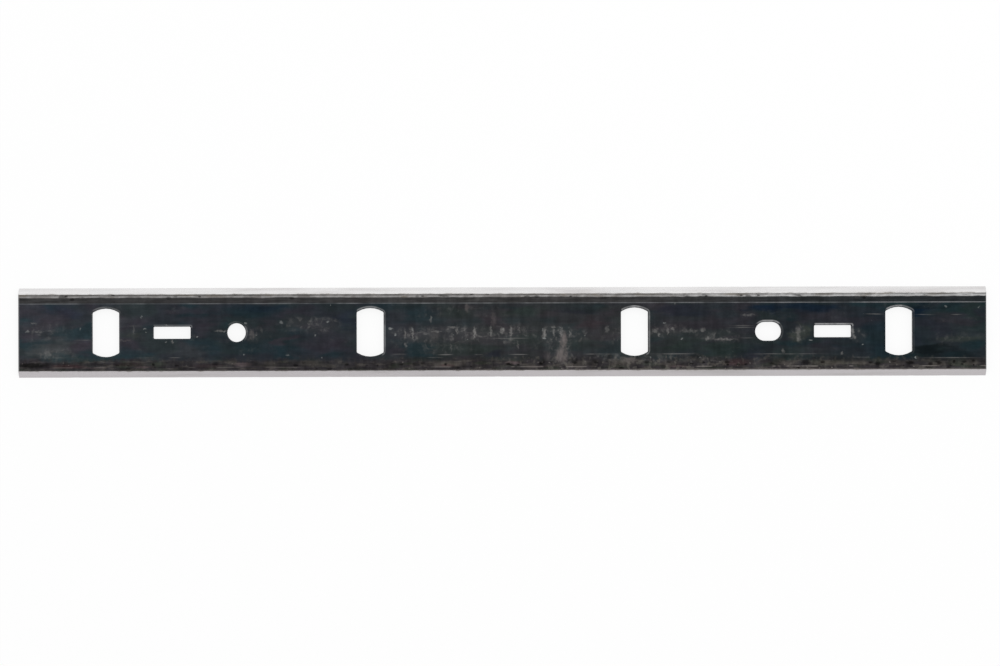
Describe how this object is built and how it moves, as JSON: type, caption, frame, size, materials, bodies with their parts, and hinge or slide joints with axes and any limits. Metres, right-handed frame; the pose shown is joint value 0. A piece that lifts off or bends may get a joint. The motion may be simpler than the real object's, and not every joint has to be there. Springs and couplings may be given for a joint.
{
  "type": "planer knife",
  "caption": "Flat double-edged planer knife with ground bevels, and flat-sided clamp openings, key slots and pin holes along its middle.",
  "frame": {"origin": "under the middle of the knife, on the plane of its flat back face", "axes": "+X along the knife towards the end with the long pin hole, +Y across it, +Z out of the bevelled front face"},
  "size_m": [0.3302, 0.0306, 0.002],
  "materials": {
    "tempered_steel": "dark blue-grey tempering oxide on the face, bright ground bevels"
  },
  "bodies": {
    "root": {"planer_knife": "tempered_steel"}
  },
  "joints": []
}
